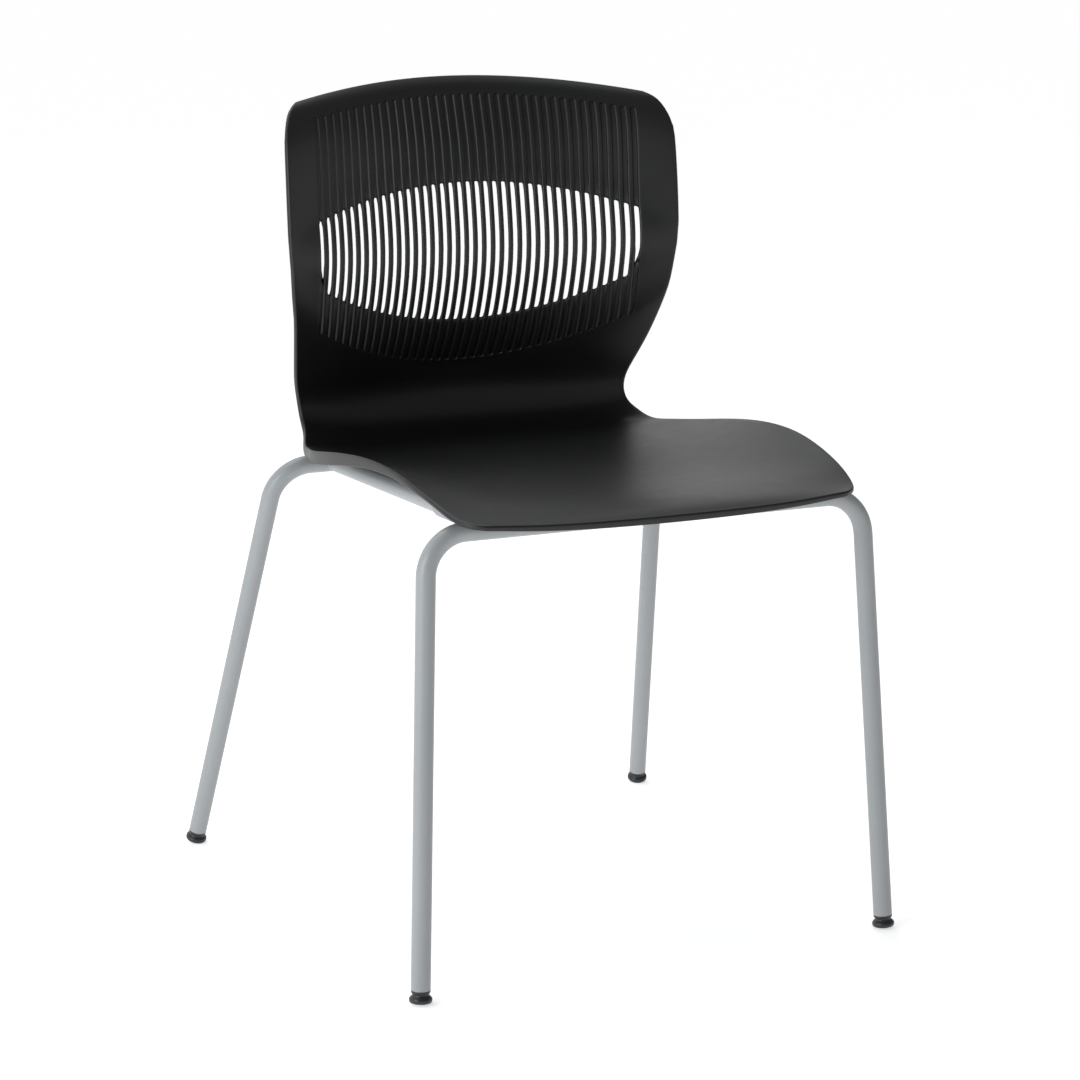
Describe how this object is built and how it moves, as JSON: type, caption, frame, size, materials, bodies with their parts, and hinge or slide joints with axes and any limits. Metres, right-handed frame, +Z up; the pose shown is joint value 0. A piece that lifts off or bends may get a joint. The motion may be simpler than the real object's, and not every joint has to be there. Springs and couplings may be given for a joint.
{
  "type": "stacking chair",
  "caption": "Armless stacking chair with a one-piece moulded seat and slotted back on a bent steel tube frame.",
  "frame": {"origin": "on the floor, below the middle of the chair's outer box", "axes": "+Z up, +X towards the chair's right-hand side seen from the front, -Y the way the sitter faces"},
  "size_m": [0.5752, 0.6178, 0.843],
  "materials": {
    "shell_plastic": "fine-textured black polypropylene",
    "frame_paint": "satin silver-grey powder coat",
    "glide_nylon": "satin black nylon",
    "bumper_plastic": "matte grey moulding",
    "zinc_steel": "bright zinc plate"
  },
  "bodies": {
    "root": {"seat_back_shell": "shell_plastic", "front_leg_tube": "frame_paint", "rear_leg_tube": "frame_paint", "side_rail_left": "frame_paint", "side_rail_right": "frame_paint", "glide_front_left": "glide_nylon", "glide_front_right": "glide_nylon", "glide_rear_left": "glide_nylon", "glide_rear_right": "glide_nylon", "stacking_bumper_left": "bumper_plastic", "stacking_bumper_right": "bumper_plastic", "mounting_tab_front_left": "frame_paint", "mounting_tab_front_right": "frame_paint", "mounting_tab_rear_left": "frame_paint", "mounting_tab_rear_right": "frame_paint", "shell_screw_front_left": "zinc_steel", "shell_screw_front_right": "zinc_steel", "shell_screw_rear_left": "zinc_steel", "shell_screw_rear_right": "zinc_steel"}
  },
  "joints": []
}
